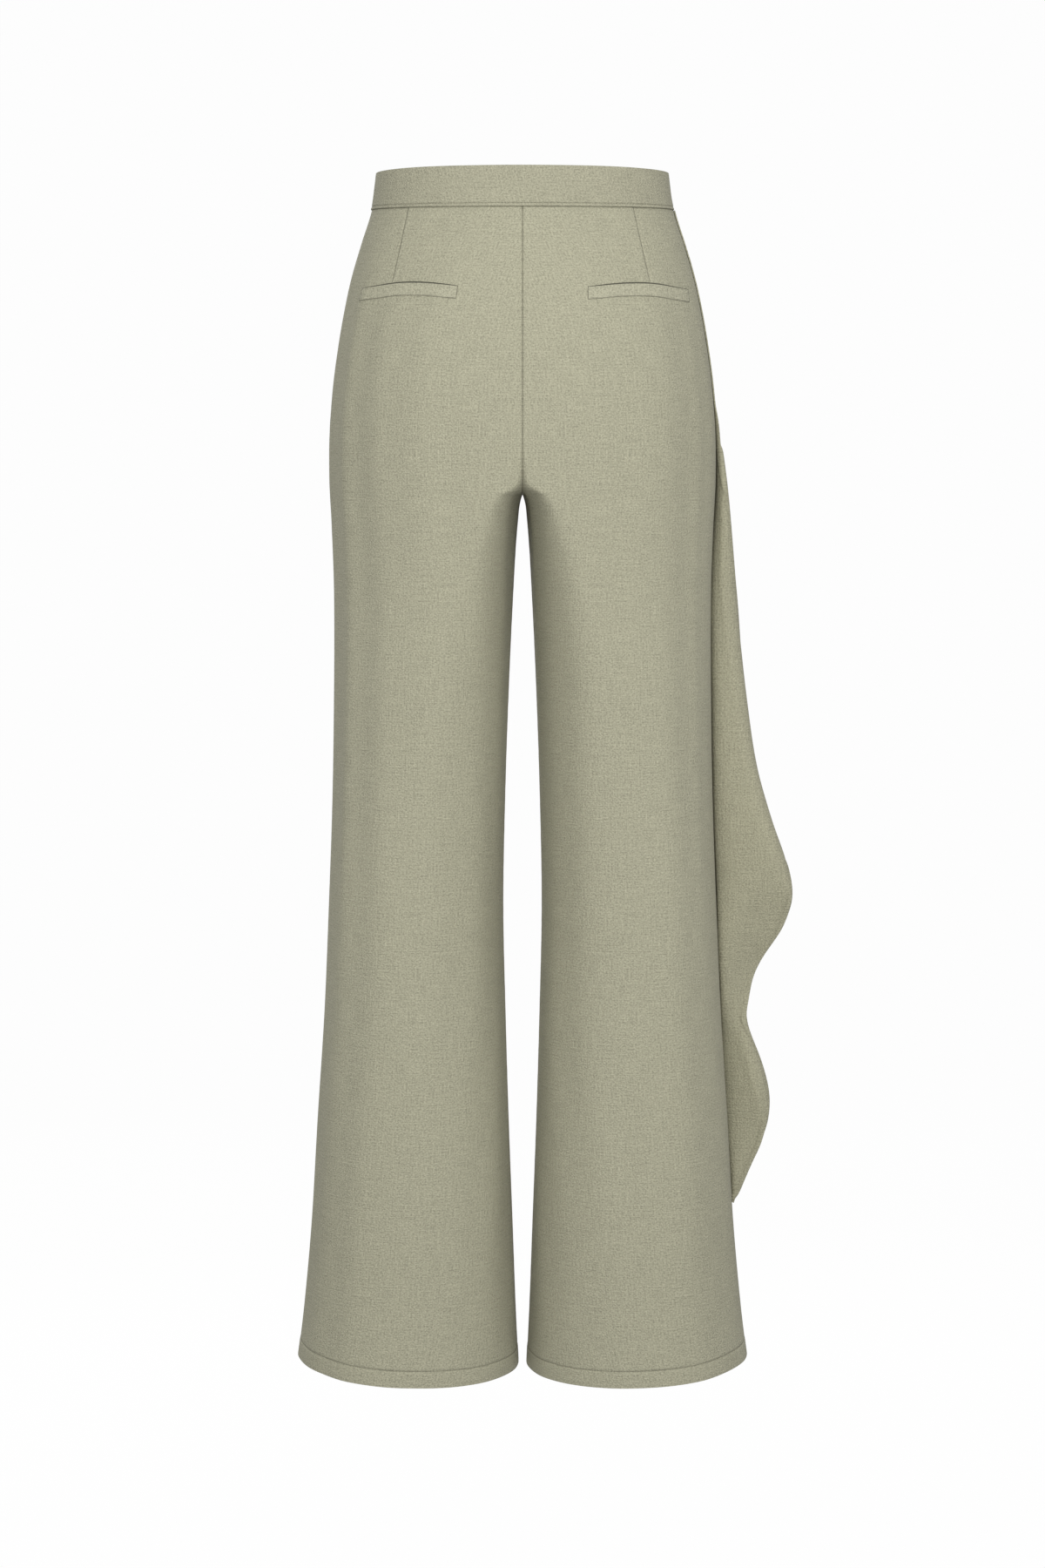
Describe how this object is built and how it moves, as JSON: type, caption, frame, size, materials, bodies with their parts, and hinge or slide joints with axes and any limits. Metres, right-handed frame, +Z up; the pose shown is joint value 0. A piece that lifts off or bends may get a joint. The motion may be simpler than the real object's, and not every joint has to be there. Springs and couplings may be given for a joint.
{
  "type": "wrap trousers",
  "caption": "High-waisted wide-leg trousers with darts and welt pockets behind and a loose flared wrap panel over one leg.",
  "frame": {"origin": "centre of the waist at the middle of the waistband's height", "axes": "+Z up, -Y to the garment's front, +X to the wearer's left"},
  "size_m": [0.446, 0.2378, 1.0681],
  "materials": {
    "cloth": "matt crepe weave in sage green",
    "band_cloth": "matt crepe weave in sage green",
    "welt_cloth": "matt crepe weave in sage green",
    "wrap_cloth": "matt crepe weave in sage green"
  },
  "bodies": {
    "root": {"back_left": "cloth", "back_right": "cloth", "front_left": "cloth", "front_right": "cloth", "waistband": "band_cloth", "welt_left": "welt_cloth", "welt_right": "welt_cloth", "wrap_panel": "wrap_cloth"}
  },
  "joints": []
}
